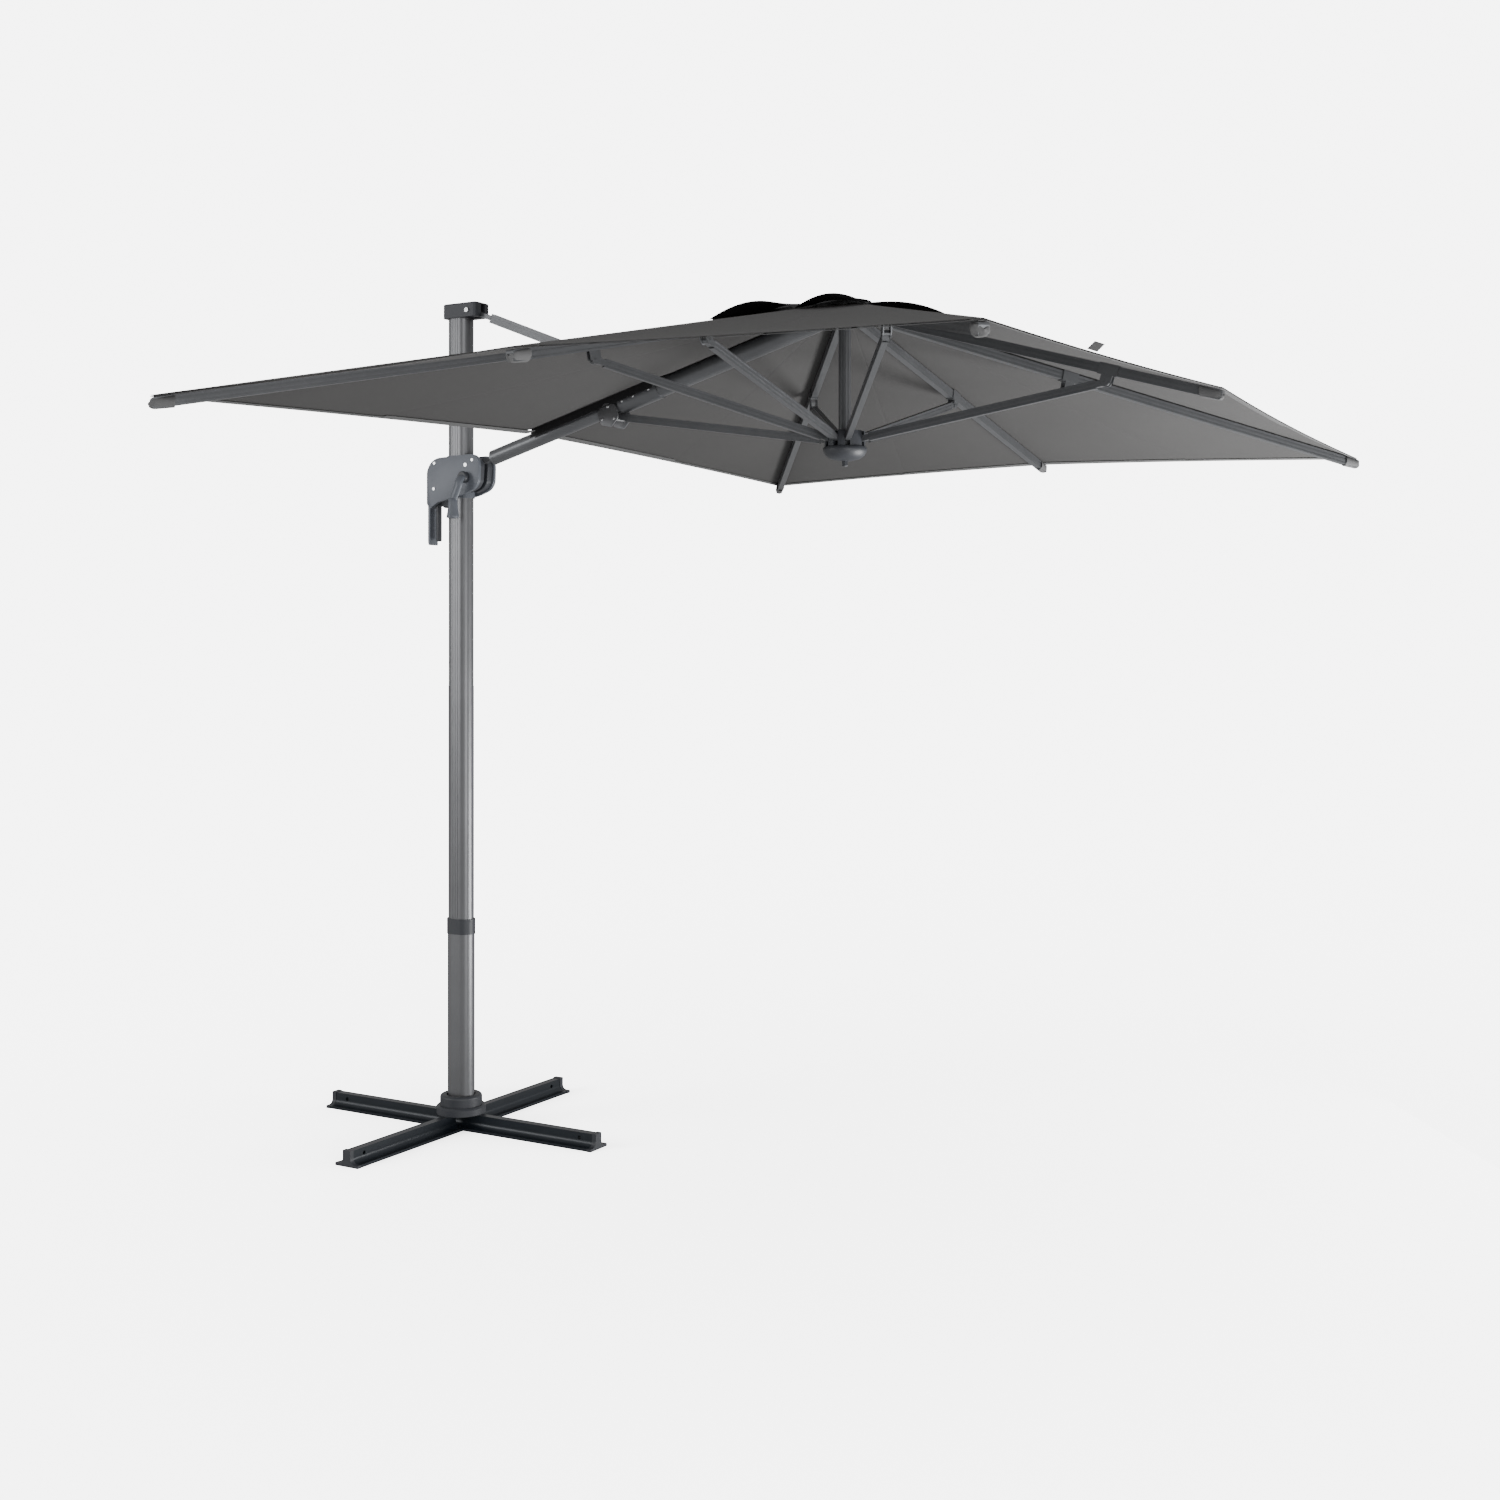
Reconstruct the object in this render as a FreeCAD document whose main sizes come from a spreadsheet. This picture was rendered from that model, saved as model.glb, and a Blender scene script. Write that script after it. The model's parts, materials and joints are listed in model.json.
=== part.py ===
# Cantilever parasol, 2 x 3 m canopy on a boom, as separate named pieces.
# Millimetres. Z is up, the origin is the mast's axis on the floor, +X is the boom's side.
import FreeCAD
import Part
import math
import os

V = FreeCAD.Vector
doc = FreeCAD.newDocument("parasol")
sheet = doc.addObject("Spreadsheet::Sheet", "Sizes")

SIZES = [
    ("pole_x", 1318, "mast axis to the canopy's centre"),
    ("half_x", 1030, "canopy half size along the boom"),
    ("half_y", 1480, "canopy half size across the boom"),
    ("corner_height", 2052, "fabric height at a corner"),
    ("mid_x_height", 2102, "fabric height at the middle of a long edge"),
    ("mid_y_height", 2083, "fabric height at the middle of a short edge"),
    ("fabric_lift", 18.5, "fabric above a rib's centreline"),
    ("fabric_thick", 1.2, "fabric thickness"),
    ("fabric_inner", 0.115, "share of the rib where the main fabric starts"),
    ("vent_half", 390, "half size of the vent cap"),
    ("vent_rise", 26, "vent cap above the main fabric at its hem"),
    ("hub_ring", 45, "radius of the circle of hub pins"),
    ("hub_outer", 55, "hub radius"),
    ("crown_height", 2372, "height of the crown's pins"),
    ("crown_x_height", 2366, "height of the crown's pins for the boom and the rib opposite"),
    ("runner_height", 2030, "height of the lower hub's pins"),
    ("strut_length", 695, "pin to pin, on the six ribs across the boom"),
    ("strut_x_radius", 735, "bracket pin radius on the boom and the rib opposite"),
    ("strut_x_height", 2135, "bracket pin height on the boom and the rib opposite"),
    ("rib_wide", 19, "rib width"),
    ("rib_deep", 25, "rib depth"),
    ("strut_wide", 15, "strut width"),
    ("strut_deep", 22, "strut depth"),
    ("wall", 1.6, "rib and strut wall"),
    ("slot_wide", 13.4, "hub slot width"),
    ("tongue_wide", 12.8, "width of the tongues in the hub slots"),
    ("pin", 5, "small pin diameter"),
    ("fit", 0.1, "diametral clearance of a pin"),
    ("pole_wide", 34, "centre pole diameter"),
    ("link_x", 50, "top arm and boom pivots in front of the mast axis"),
    ("arm_top", 2488, "top arm's upper pivot height"),
    ("boom_foot", 2018, "boom's lower pivot height"),
    ("link_mid_x", 653, "top arm's lower pivot, from the mast axis"),
    ("arm_wide", 18, "top arm width"),
    ("arm_deep", 28, "top arm depth"),
    ("arm_neck", 75, "narrow stretch of the top arm by the mast"),
    ("boom_wide", 45, "boom lower tube diameter"),
    ("boom_upper_wide", 54, "boom upper tube diameter"),
    ("sleeve_wide", 60, "boom sleeve diameter"),
    ("bolt", 8, "main pivot diameter"),
    ("mast_wide", 54, "mast upper tube across"),
    ("mast_long", 82, "mast upper tube along the boom"),
    ("lower_wide", 58.4, "mast lower tube across"),
    ("lower_long", 86.4, "mast lower tube along the boom"),
    ("mast_wall", 2, "mast wall"),
    ("mast_top", 2469, "top of the mast tube"),
    ("collar_low", 590, "collar's lower edge"),
    ("collar_high", 636, "collar's upper edge"),
    ("arm_reach", 510, "base arm from the mast axis"),
    ("flange_wide", 80, "base bar flange width"),
    ("flange_thick", 7, "base bar flange thickness"),
    ("web_wide", 24, "base bar web width"),
    ("bar_high", 44, "base bar height"),
    ("cover_wide", 150, "base cover width"),
    ("cover_high", 100, "base cover height"),
    ("spigot", 40, "swivel spigot diameter"),
    ("slider_low", 1920, "slider's lower edge"),
    ("slider_high", 2050, "slider's upper edge"),
]
for row, (alias, value, note) in enumerate(SIZES, 1):
    sheet.set("A%d" % row, alias)
    sheet.set("B%d" % row, str(value))
    sheet.set("C%d" % row, note)
    sheet.setAlias("B%d" % row, alias)
doc.recompute()


def size(name):
    return float(sheet.get(name))


LINK_MID_HEIGHT = (size("arm_top") + size("boom_foot")) / 2
BOOM_RUN = size("pole_x") - size("hub_ring") - size("link_x")
BOOM_RISE = size("crown_x_height") - size("boom_foot")
BOOM_PITCH = math.atan2(BOOM_RISE, BOOM_RUN)
BOOM_LENGTH = math.hypot(BOOM_RUN, BOOM_RISE)
HALF_GAP = (size("crown_height") - size("runner_height")) / 2
STRUT_RADIUS = size("hub_ring") + math.sqrt(size("strut_length") ** 2 - HALF_GAP**2)
STRUT_HEIGHT = size("runner_height") + HALF_GAP
pieces = []


# Helpers -----------------------------------------------------------------------------------------
def piece(label, *shapes):
    """A sub-part made of one or more solids."""
    shape = shapes[0] if len(shapes) == 1 else Part.makeCompound(list(shapes))
    obj = doc.addObject("Part::Feature", label)
    obj.Label = label
    obj.Shape = shape
    obj.Placement = shape.Placement
    pieces.append(obj)
    return obj


def box(x0, x1, y0, y1, z0, z1):
    return Part.makeBox(x1 - x0, y1 - y0, z1 - z0, V(x0, y0, z0))


def rod(diameter, start, end):
    """A round bar from one point to another."""
    way = V(*end) - V(*start)
    return Part.makeCylinder(diameter / 2, way.Length, V(*start), way)


def cross_pin(diameter, x, z, half):
    """A round bar along Y, centred on the X-Z plane."""
    return rod(diameter, (x, -half, z), (x, half, z))


def cylinder(name, diameter, start, end):
    """A Part cylinder between two points, its diameter bound to the sheet."""
    way = V(*end) - V(*start)
    obj = doc.addObject("Part::Cylinder", name)
    obj.setExpression("Radius", "(%s) / 2" % diameter)
    obj.Height = way.Length
    obj.Placement = FreeCAD.Placement(V(*start), FreeCAD.Rotation(V(0, 0, 1), way))
    return obj


def bound_cut(label, base, *tools):
    """A named sub-part: one Part object less others."""
    for number, tool in enumerate(tools, 1):
        cut = doc.addObject("Part::Cut", label if number == len(tools) else label + "_step")
        cut.Base = base
        cut.Tool = tool
        base = cut
    base.Label = label
    doc.recompute()
    pieces.append(base)


def bound_fuse(name, *parts):
    """Several Part objects as one; it is a sub-part if its name is a node's."""
    fuse = doc.addObject("Part::MultiFuse", name)
    fuse.Shapes = list(parts)
    fuse.Refine = True
    doc.recompute()
    return fuse


def merge(shapes):
    return shapes[0].multiFuse(list(shapes[1:])).removeSplitter()


def less(shape, *tools):
    for tool in tools:
        shape = shape.cut(tool)
    return shape


def stadium(long, wide, z0, z1):
    """An upright bar with round ends, long in X."""
    straight = (long - wide) / 2
    ends = [Part.makeCylinder(wide / 2, z1 - z0, V(x, 0, z0)) for x in (-straight, straight)]
    return merge([box(-straight, straight, -wide / 2, wide / 2, z0, z1)] + ends)


def turned(shape, degrees, x, z):
    """Turn a shape made along +X about Y (down is positive), then move it to x, z."""
    copy = shape.copy()
    copy.rotate(V(0, 0, 0), V(0, 1, 0), degrees)
    copy.translate(V(x, 0, z))
    return copy


def on_boom(shape):
    """Boom frame: x along the boom from its lower pivot, z square to it."""
    return turned(shape, -math.degrees(BOOM_PITCH), size("link_x"), size("boom_foot"))


def boom_point(x, z):
    """A point of the X-Z plane in the boom's frame."""
    dx = x - size("link_x")
    dz = z - size("boom_foot")
    c = math.cos(BOOM_PITCH)
    s = math.sin(BOOM_PITCH)
    return dx * c + dz * s, dz * c - dx * s


def round_pole(shape, azimuth):
    """Radial frame of the canopy: x is the distance from the pole."""
    copy = shape.copy()
    copy.rotate(V(0, 0, 0), V(0, 0, 1), azimuth)
    copy.translate(V(size("pole_x"), 0, 0))
    return copy


def fluted(length, wide, deep, wall):
    """A hollow bar along +X with a groove down each side."""
    flute = 1.0
    band = deep * 0.2
    outer = box(0, length, -wide / 2, wide / 2, -deep / 2, deep / 2)
    grooves = [
        box(0, length, side * wide / 2 - flute, side * wide / 2 + flute, z - band / 2, z + band / 2)
        for side in (-1, 1)
        for z in (-deep * 0.22, deep * 0.22)
    ]
    inside = box(0, length, flute + wall - wide / 2, wide / 2 - flute - wall,
                 wall - deep / 2, deep / 2 - wall)
    return less(outer, *grooves, inside)


# Base --------------------------------------------------------------------------------------------
def bar_face(x, grow=0.0):
    """An inverted T with curved fillets between web and flange, across X."""
    half = size("flange_wide") / 2 + grow
    web = size("web_wide") / 2 + grow
    low = size("flange_thick")
    high = size("bar_high") + grow
    bend = 16
    mid = bend * (1 - math.sqrt(0.5))
    edges = []
    for side in (1, -1):
        inner = V(x, side * web, low + bend)
        foot = V(x, side * (web + bend), low)
        between = V(x, side * (web + mid), low + mid)
        edges += [
            Part.makeLine(V(x, 0, high), V(x, side * web, high)),
            Part.makeLine(V(x, side * web, high), inner),
            Part.Arc(inner, between, foot).toShape(),
            Part.makeLine(foot, V(x, side * half, low)),
            Part.makeLine(V(x, side * half, low), V(x, side * half, 0)),
            Part.makeLine(V(x, side * half, 0), V(x, 0, 0)),
        ]
    return Part.Face(Part.Wire(Part.__sortEdges__(edges)))


def quarter_turn(shape, turns):
    copy = shape.copy()
    copy.rotate(V(0, 0, 0), V(0, 0, 1), 90 * turns)
    return copy


CAP = 14
HOLE_IN = 60
bar_end = size("arm_reach") - CAP
long_bar = bar_face(-bar_end).extrude(V(2 * bar_end, 0, 0))
end_holes = [
    rod(12, (x, -60, 28), (x, 60, 28))
    for x in (HOLE_IN - size("arm_reach"), size("arm_reach") - HOLE_IN)
]
socket_bolts = [(x, y) for x in (-52, 52) for y in (0,)] + [(0, y) for y in (-52, 52)]
bolt_holes = [rod(8.2, (x, y, 20), (x, y, 60)) for x, y in socket_bolts]
piece("base_bar_long", less(long_bar, *end_holes, *bolt_holes))

half_flange = size("flange_wide") / 2
short_bar = bar_face(half_flange).extrude(V(bar_end - half_flange, 0, 0))
short_bar = less(short_bar, end_holes[1])
piece(
    "base_bars_short",
    *[less(quarter_turn(short_bar, turns), *bolt_holes) for turns in (1, 3)],
)
end_cap = bar_face(bar_end, 1.5).extrude(V(CAP, 0, 0))
piece("base_end_caps", *[quarter_turn(end_cap, turns) for turns in range(4)])

PLATE = 6
plate_low = size("bar_high")
plate_high = plate_low + PLATE
spigot_top = 240
socket = merge([
    Part.makeCylinder(68, PLATE, V(0, 0, plate_low)),
    Part.makeCylinder(size("spigot") / 2, spigot_top - plate_high, V(0, 0, plate_high)),
])
socket = less(socket, rod(size("spigot") - 8, (0, 0, plate_low - 1), (0, 0, spigot_top + 1)),
              *bolt_holes)
piece("foot_socket", socket)


def bolt(x, y, low, face, width=8.0, head=13.0):
    """A hexagon bolt standing on the face height."""
    angles = [math.radians(60 * k) for k in range(7)]
    ring = [V(x + head / 2 * math.cos(a), y + head / 2 * math.sin(a), face) for a in angles]
    hexagon = Part.Face(Part.makePolygon(ring)).extrude(V(0, 0, 5))
    return merge([rod(width, (x, y, low), (x, y, face + 1)), hexagon])


piece("base_bolts", *[bolt(x, y, 22, plate_high) for x, y in socket_bolts])

STEP = 68
half_cover = size("cover_wide") / 2
gap = 1.0
lower_step = Part.makeCylinder(half_cover, STEP - plate_low, V(0, 0, plate_low))
upper_step = Part.makeCylinder(half_cover - 12, size("cover_high") - STEP, V(0, 0, STEP))
lower_step = lower_step.makeChamfer(5, [e for e in lower_step.Edges if e.BoundBox.ZMin > STEP - 0.1])
upper_step = upper_step.makeFillet(8, [
    e for e in upper_step.Edges if e.BoundBox.ZMin > size("cover_high") - 0.1
])
cover = merge([lower_step, upper_step])
hollow_low = Part.makeCylinder(half_cover - 4, STEP - plate_low - 3, V(0, 0, plate_low - 1))
hollow_up = Part.makeCylinder(half_cover - 16, size("cover_high") - STEP, V(0, 0, STEP - 4))
cover = less(cover, hollow_low, hollow_up,
             Part.makeCylinder(size("lower_long") / 2 + gap, 60, V(0, 0, 60)))
piece("base_cover", cover)


# Mast --------------------------------------------------------------------------------------------
def tube(long, wide, wall, z0, z1):
    return less(stadium(long, wide, z0, z1),
                stadium(long - 2 * wall, wide - 2 * wall, z0 - 1, z1 + 1))


foot_gap = 1.0
tube_low = plate_high + foot_gap
lower_tube = tube(size("lower_long"), size("lower_wide"), size("mast_wall"),
                  tube_low, size("collar_low") + 10)
piece("mast_lower_tube", lower_tube)
bush = less(
    stadium(size("lower_long") - 2 * size("mast_wall"), size("lower_wide") - 2 * size("mast_wall"),
            tube_low, spigot_top),
    rod(size("spigot") + size("fit"), (0, 0, 40), (0, 0, spigot_top + 1)),
)
piece("mast_swivel_bush", bush)
collar = less(
    stadium(size("lower_long") + 4, size("lower_wide") + 4,
            size("collar_low"), size("collar_high")),
    stadium(size("lower_long"), size("lower_wide"), size("collar_low") - 1, size("collar_low") + 10),
    stadium(size("mast_long"), size("mast_wide"), size("collar_low"), size("collar_high") + 1),
)
piece("mast_collar", collar)
upper_tube = tube(size("mast_long"), size("mast_wide"), size("mast_wall"), 450, size("mast_top"))
side = size("mast_wide") / 2
flutes = [
    box(x - 2, x + 2, s * side - 0.8, s * side + 0.8, size("collar_high") + 2, size("mast_top"))
    for s in (-1, 1)
    for x in (-9, 0, 9)
]
piece("mast_upper_tube", less(upper_tube, *flutes))

CAP_TOP = size("mast_top") + 44
CAP_HALF = 35
link_x = size("link_x")
slot_half = size("arm_wide") / 2 + 0.4
cap_block = box(-46, 84, -CAP_HALF, CAP_HALF, size("mast_top"), CAP_TOP)
cap_block = cap_block.makeFillet(12, [
    e for e in cap_block.Edges if abs(e.tangentAt(e.FirstParameter).z) > 0.9
])
cap_block = cap_block.makeFillet(5, [
    e for e in cap_block.Edges if e.BoundBox.ZMin > CAP_TOP - 0.1
])
arm_slot = box(link_x - 17, 120, -slot_half, slot_half, size("mast_top") - 1, CAP_TOP - 5)
cap_hole = cross_pin(size("bolt"), link_x, size("arm_top"), 60)
piece("mast_top_cap", less(cap_block, arm_slot, cap_hole))
HEAD_HIGH = 4
arm_top = size("arm_top")
top_bolt = bound_fuse(
    "top_pivot_bolt",
    cylinder("top_bolt_shank", "Sizes.bolt", (link_x, -CAP_HALF - 1, arm_top),
             (link_x, CAP_HALF + 1, arm_top)),
    cylinder("top_bolt_head", "Sizes.bolt + 6", (link_x, -CAP_HALF - HEAD_HIGH, arm_top),
             (link_x, -CAP_HALF, arm_top)),
    cylinder("top_bolt_nut", "Sizes.bolt + 6", (link_x, CAP_HALF, arm_top),
             (link_x, CAP_HALF + HEAD_HIGH, arm_top)),
)
pieces.append(top_bolt)

# Top arm -----------------------------------------------------------------------------------------
arm_dx = size("link_mid_x") - link_x
arm_dz = size("arm_top") - LINK_MID_HEIGHT
arm_length = math.hypot(arm_dx, arm_dz)
arm_pitch = math.degrees(math.atan2(arm_dz, arm_dx))
arm_eye = 14
arm = merge([
    box(size("arm_neck"), arm_length, -size("arm_wide") / 2, size("arm_wide") / 2,
        -size("arm_deep") / 2, size("arm_deep") / 2),
    box(0, size("arm_neck") + 2, -size("arm_wide") / 2, size("arm_wide") / 2, -7, 7),
    cross_pin(arm_eye, 0, 0, size("arm_wide") / 2),
    cross_pin(size("arm_deep"), arm_length, 0, size("arm_wide") / 2),
])
arm = less(
    arm,
    cross_pin(size("bolt") + size("fit"), 0, 0, 60),
    cross_pin(size("bolt") + size("fit"), arm_length, 0, 60),
    *[box(size("arm_neck"), arm_length, s * size("arm_wide") / 2 - 0.8,
          s * size("arm_wide") / 2 + 0.8, z - 2, z + 2)
      for s in (-1, 1) for z in (-6, 0, 6)],
    box(size("arm_neck") + 14, arm_length - 30, -7, 7, -12, 12),
)
piece("top_arm", turned(arm, arm_pitch, link_x, size("arm_top")))

# Boom --------------------------------------------------------------------------------------------
sleeve_from = 565
sleeve_to = 702
lower_from = 78
upper_to = BOOM_LENGTH - 30
mid_u, mid_n = boom_point(size("link_mid_x"), LINK_MID_HEIGHT)
strut_u, strut_n = boom_point(size("pole_x") - size("strut_x_radius"), size("strut_x_height"))
inner_bore = rod(size("boom_wide") - 5, (lower_from + 12, 0, 0), (sleeve_from + 70, 0, 0))
boom_tongue = merge([
    box(0, lower_from + 2, -size("arm_wide") / 2, size("arm_wide") / 2, -7, 7),
    cross_pin(14, 0, 0, size("arm_wide") / 2),
    rod(size("boom_wide"), (lower_from, 0, 0), (sleeve_from + 60, 0, 0)),
])
boom_tongue = less(boom_tongue, inner_bore, cross_pin(size("bolt") + size("fit"), 0, 0, 60))
piece("boom_lower_tube", on_boom(boom_tongue))


def along_boom(distance):
    """A point on the boom's axis, that far from its lower pivot."""
    return (size("link_x") + distance * math.cos(BOOM_PITCH), 0,
            size("boom_foot") + distance * math.sin(BOOM_PITCH))


LAP = 60
bound_cut(
    "boom_upper_tube",
    cylinder("upper_skin", "Sizes.boom_upper_wide", along_boom(sleeve_to - LAP), along_boom(upper_to)),
    cylinder("upper_bore", "Sizes.boom_upper_wide - 5", along_boom(sleeve_to - LAP - 1),
             along_boom(upper_to + 1)),
)
bound_cut(
    "boom_sleeve",
    cylinder("sleeve_skin", "Sizes.sleeve_wide", along_boom(sleeve_from), along_boom(sleeve_to)),
    cylinder("sleeve_low_bore", "Sizes.boom_wide", along_boom(sleeve_from - 1),
             along_boom(sleeve_from + LAP)),
    cylinder("sleeve_high_bore", "Sizes.boom_upper_wide", along_boom(sleeve_to - LAP),
             along_boom(sleeve_to + 1)),
)
sleeve_round = rod(size("sleeve_wide"), (0, 0, 0), (BOOM_LENGTH, 0, 0))
ears = [
    merge([box(mid_u - 22, mid_u + 22, y0, y1, 0, mid_n),
           rod(32, (mid_u, y0, mid_n), (mid_u, y1, mid_n))])
    for y0, y1 in ((-13, -slot_half), (slot_half, 13))
]
arm_bracket = less(merge(ears + [cross_pin(size("bolt"), mid_u, mid_n, 16)]), sleeve_round)
piece("boom_arm_bracket", on_boom(arm_bracket))
bracket_half = size("strut_wide") / 2 + 0.4


def hexagon_plate(x, z, radius, y0, y1):
    """A six-sided plate square to Y."""
    ring = [
        V(x + radius * math.cos(math.radians(60 * k)), y0, z + radius * math.sin(math.radians(60 * k)))
        for k in range(7)
    ]
    return Part.Face(Part.makePolygon(ring)).extrude(V(0, y1 - y0, 0))


plates = [
    hexagon_plate(strut_u, strut_n + 6, 36, y0, y1)
    for y0, y1 in ((-bracket_half - 3, -bracket_half), (bracket_half, bracket_half + 3))
]
strut_bracket = merge(plates + [cross_pin(size("pin"), strut_u, strut_n, bracket_half + 5)])
strut_bracket = less(strut_bracket, sleeve_round)
piece("boom_strut_bracket", on_boom(strut_bracket))
tongue_half = size("tongue_wide") / 2
end_tongue = merge([
    box(upper_to, BOOM_LENGTH, -tongue_half, tongue_half, -9, 9),
    cross_pin(18, BOOM_LENGTH, 0, tongue_half),
    box(upper_to - 40, upper_to, -14, 14, -13, 13),
])
end_tongue = less(end_tongue, cross_pin(size("pin") + size("fit"), BOOM_LENGTH, 0, 30))
piece("boom_end_tongue", on_boom(end_tongue))

# Slider ------------------------------------------------------------------------------------------
low = size("slider_low")
high = size("slider_high")
guide_wall = 4
guide = less(
    stadium(size("mast_long") + 2 * guide_wall, size("mast_wide") + 2 * guide_wall, low, high),
    stadium(size("mast_long") + size("fit"), size("mast_wide") + size("fit"), low - 1, high + 1),
    box(30, 60, -slot_half, slot_half, size("boom_foot") - 14, high + 1),
)
piece("slider_guide", guide)
guide_round = stadium(size("mast_long") + 2 * guide_wall, size("mast_wide") + 2 * guide_wall,
                      low - 200, high + 1)


def rounded(shape, radius):
    return shape.makeFillet(radius, [
        e for e in shape.Edges if abs(e.tangentAt(e.FirstParameter).z) > 0.9
    ])


front = rounded(box(1, 100, -40, 40, low + 12, high), 16)
front = less(
    front,
    guide_round,
    box(30, 140, -slot_half, slot_half, size("boom_foot") - 14, high + 1),
    cross_pin(size("bolt"), link_x, size("boom_foot"), 60),
)
piece("slider_front_shell", front)
rear = rounded(box(-100, -1, -40, 40, low + 12, high), 16)
grip_high = low + 14
GRIP_REAR = -115
GRIP_FRONT = -106
lever_half = 9
rear = merge([
    rear,
    box(GRIP_REAR, GRIP_FRONT, -18, 18, 1779, grip_high),
    box(GRIP_REAR, -95, -18, 18, low + 2, low + 24),
])
lever_pin = (-78, low + 30)
rear = less(
    rear,
    guide_round,
    box(-96, -64, -lever_half - 0.5, lever_half + 0.5, low, lever_pin[1] + 14),
)
rear = merge([rear, cross_pin(6, lever_pin[0], lever_pin[1], lever_half + 3)])
piece("slider_rear_shell", rear)
screw_heads = [
    rod(9, (x, s * 40, z), (x, s * 44, z))
    for x, z in ((-70, 2028), (76, 2032), (-72, 1950)) for s in (-1, 1)
]
pivot_pin = merge([
    cross_pin(size("bolt"), link_x, size("boom_foot"), 40),
    rod(12, (link_x, 40, size("boom_foot")), (link_x, 43.5, size("boom_foot"))),
    rod(12, (link_x, -43.5, size("boom_foot")), (link_x, -40, size("boom_foot"))),
])
piece("slider_screws", pivot_pin, *screw_heads)
lever = merge([
    rod(16, (lever_pin[0], -lever_half, lever_pin[1]), (lever_pin[0], lever_half, lever_pin[1])),
    box(-93, -81, -lever_half, lever_half, 1790, lever_pin[1]),
])
lever = less(lever, cross_pin(6 + size("fit"), lever_pin[0], lever_pin[1], 30))
piece("release_lever", lever)
crank_x = 50
crank_z = 1980
arm_y = -76
arm_bar = doc.addObject("Part::Box", "crank_bar")
arm_bar.Length = 16
arm_bar.Width = 8
arm_bar.Height = crank_z - 1896
arm_bar.Placement.Base = V(crank_x - 8, arm_y - 4, 1896)
handle = bound_fuse(
    "crank_handle",
    cylinder("crank_axle", "2 * Sizes.bolt", (crank_x, arm_y, crank_z), (crank_x, -40.3, crank_z)),
    cylinder("crank_eye", "3 * Sizes.bolt", (crank_x, arm_y - 5, crank_z), (crank_x, arm_y + 5, crank_z)),
    arm_bar,
    cylinder("crank_spindle", "Sizes.bolt", (crank_x, arm_y, 1872), (crank_x, arm_y, 1897)),
)
pieces.append(handle)
flare = doc.addObject("Part::Cone", "grip_flare")
flare.setExpression("Radius1", "1.5 * Sizes.bolt")
flare.setExpression("Radius2", "1.5 * Sizes.bolt - 3")
flare.Height = 30
flare.Placement.Base = V(crank_x, arm_y, 1865)
bound_cut(
    "crank_grip",
    bound_fuse("grip_body", flare,
               cylinder("grip_foot", "3 * Sizes.bolt", (crank_x, arm_y, 1856), (crank_x, arm_y, 1865))),
    cylinder("grip_bore", "Sizes.bolt", (crank_x, arm_y, 1872), (crank_x, arm_y, 1900)),
)

# Crown, centre pole and lower hub ----------------------------------------------------------------
corner_azimuth = math.degrees(math.atan2(size("half_y"), size("half_x")))
ACROSS = [
    ("right_front", -corner_azimuth),
    ("right", -90.0),
    ("right_rear", corner_azimuth - 180),
    ("left_rear", 180 - corner_azimuth),
    ("left", 90.0),
    ("left_front", corner_azimuth),
]
ring = size("hub_ring")


def hub(z0, z1, heights, bore, open_turns=()):
    """A disc with a slot for every arm and a pin for all but the open ones."""
    body = Part.makeCylinder(size("hub_outer"), z1 - z0, V(0, 0, z0))
    pins = []
    half = size("slot_wide") / 2
    for azimuth in open_turns:
        slot = box(ring - 24, ring + 30, -half, half, z0 - 1, z1 + 1)
        slot.rotate(V(0, 0, 0), V(0, 0, 1), azimuth)
        body = body.cut(slot)
    for azimuth, height in heights:
        slot = box(ring - 12, ring + 30, -half, half, z0 - 1, z1 + 1)
        slot.rotate(V(0, 0, 0), V(0, 0, 1), azimuth)
        body = body.cut(slot)
        pin = cross_pin(size("pin"), ring, height, size("slot_wide") / 2 + 1.5)
        pin.rotate(V(0, 0, 0), V(0, 0, 1), azimuth)
        pins.append(pin)
    body = merge([body] + pins)
    if bore:
        body = body.cut(Part.makeCylinder(bore / 2, z1 - z0 + 2, V(0, 0, z0 - 1)))
    return body


turns = [azimuth for name, azimuth in ACROSS]
crown_pins = [(azimuth, size("crown_height")) for azimuth in turns]
crown_pins += [(azimuth, size("crown_x_height")) for azimuth in (0.0, 180.0)]
crown_low = size("crown_height") - 20
crown_top = size("crown_height") + 10
crown = hub(crown_low, crown_top, crown_pins, None)
CROWN_CAP = 8
crown = merge([crown, Part.makeCylinder(size("hub_outer") - 22, CROWN_CAP, V(0, 0, crown_top))])
dock = 12
crown = crown.cut(Part.makeCylinder(size("pole_wide") / 2 + 0.5, dock, V(0, 0, crown_low)))
piece("hub_crown", round_pole(crown, 0))
runner_pins = [(azimuth, size("runner_height")) for azimuth in turns]
runner_low = size("runner_height") - 26
runner_top = size("runner_height") + 22
runner = hub(runner_low, runner_top, runner_pins, size("pole_wide"), (0.0, 180.0))
piece("runner_hub", round_pole(runner, 0))
pole_flutes = []
for k in range(12):
    flute = rod(3, (size("pole_wide") / 2 + 0.6, 0, runner_top + 1),
                (size("pole_wide") / 2 + 0.6, 0, crown_low))
    flute.rotate(V(0, 0, 0), V(0, 0, 1), 30 * k)
    pole_flutes.append(flute)
pole = Part.makeCylinder(size("pole_wide") / 2, crown_low + dock - 1 - runner_low, V(0, 0, runner_low))
pole = less(pole, *pole_flutes,
            Part.makeCylinder(size("pole_wide") / 2 - 4, 600, V(0, 0, runner_low + 4)))
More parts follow.
